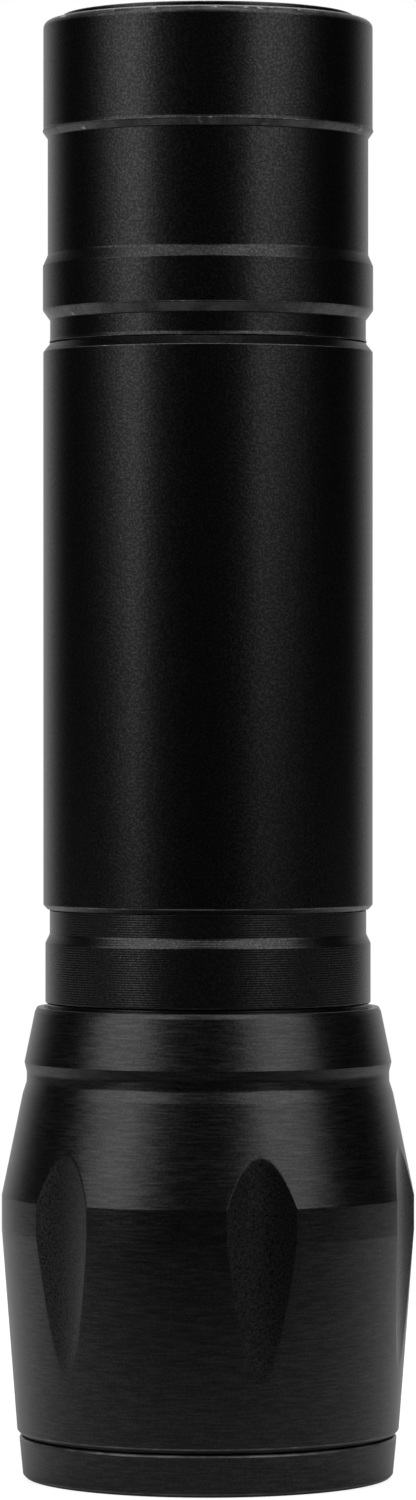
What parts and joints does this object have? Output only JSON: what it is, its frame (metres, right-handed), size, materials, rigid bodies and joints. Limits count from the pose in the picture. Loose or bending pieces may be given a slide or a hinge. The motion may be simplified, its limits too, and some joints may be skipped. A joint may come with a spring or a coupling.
{
  "type": "flashlight",
  "caption": "Push-pull zoom flashlight with a fluted sliding head on a turned neck, a plain grip tube and a screwed tail cap with a recessed push switch.",
  "frame": {"origin": "centre of the front ring's flat face, on the surface that the light stands on", "axes": "+Z along the light's axis towards the switch end; the picture looks along +Y with +X to the right"},
  "size_m": [0.0332, 0.0332, 0.1174],
  "materials": {
    "turned_black": "satin",
    "blasted_black": "satin",
    "bare_aluminium": "satin",
    "clear_lens": "polished",
    "black_rubber": "matte",
    "black_plastic": "matte",
    "white_board": "satin",
    "green_board": "satin",
    "emitter_base": "matte",
    "emitter_dome": "gloss",
    "red_sleeve": "satin",
    "spring_steel": "satin",
    "nickel_plate": "satin",
    "cell_wrap": "satin"
  },
  "bodies": {
    "zoom_head": {"head_shell": "turned_black", "bezel_ring": "turned_black", "lens": "clear_lens", "lens_seal": "black_rubber"},
    "zoom_seal": {"zoom_o_ring": "black_rubber"},
    "barrel": {"neck": "turned_black", "body_tube": "blasted_black", "led_pill": "bare_aluminium", "led_board": "white_board", "led_base": "emitter_base", "led_dome": "emitter_dome", "led_lead_positive": "red_sleeve", "led_lead_negative": "black_plastic", "driver_board": "green_board", "driver_inductor": "black_plastic", "driver_chip": "black_plastic", "driver_spring": "spring_steel", "carrier_front_plate": "black_plastic", "carrier_rear_plate": "black_plastic", "carrier_front_contact": "nickel_plate", "carrier_rear_contact": "nickel_plate", "carrier_post_1": "black_plastic", "carrier_post_2": "black_plastic", "carrier_post_3": "black_plastic", "cell_1": "cell_wrap", "cell_2": "cell_wrap", "cell_3": "cell_wrap", "cell_spring_1": "spring_steel", "cell_spring_2": "spring_steel", "cell_spring_3": "spring_steel", "cell_contact_1": "nickel_plate", "cell_contact_2": "nickel_plate", "cell_contact_3": "nickel_plate"},
    "tail_seal": {"tail_o_ring": "black_rubber"},
    "tail_unit": {"tail_cap": "blasted_black", "tail_spring": "spring_steel", "switch_retainer": "bare_aluminium", "switch_board": "green_board", "switch_holder": "black_plastic", "switch_case": "black_plastic", "switch_spring": "spring_steel", "switch_boot": "black_rubber"},
    "switch_button": {"switch_plunger": "black_plastic"}
  },
  "joints": [
    {"name": "zoom_slide", "type": "slide", "parent": "zoom_head", "child": "zoom_seal", "axis": [0, 0, 1], "range_m": [0, 0.0085]},
    {"name": "barrel_turn", "type": "hinge", "parent": "zoom_seal", "child": "barrel", "pos_m": [0, 0, 0.027], "axis": [0, 0, 1], "continuous": true},
    {"name": "cap_lift", "type": "slide", "parent": "barrel", "child": "tail_seal", "axis": [0, 0, 1], "range_m": [0, 0.005]},
    {"name": "cap_turn", "type": "hinge", "parent": "tail_seal", "child": "tail_unit", "pos_m": [0, 0, 0.091], "axis": [0, 0, 1], "range_deg": [0, 1800]},
    {"name": "button_press", "type": "slide", "parent": "tail_unit", "child": "switch_button", "axis": [0, 0, -1], "range_m": [0, 0.0016], "stiffness_N_per_m": 1200, "springref_m": -0.001, "deforming": ["switch_boot", "switch_spring"]}
  ],
  "couplings": [
    {"joint": "cap_lift", "follows": "cap_turn", "m_per_rad": 0.00015915}
  ]
}
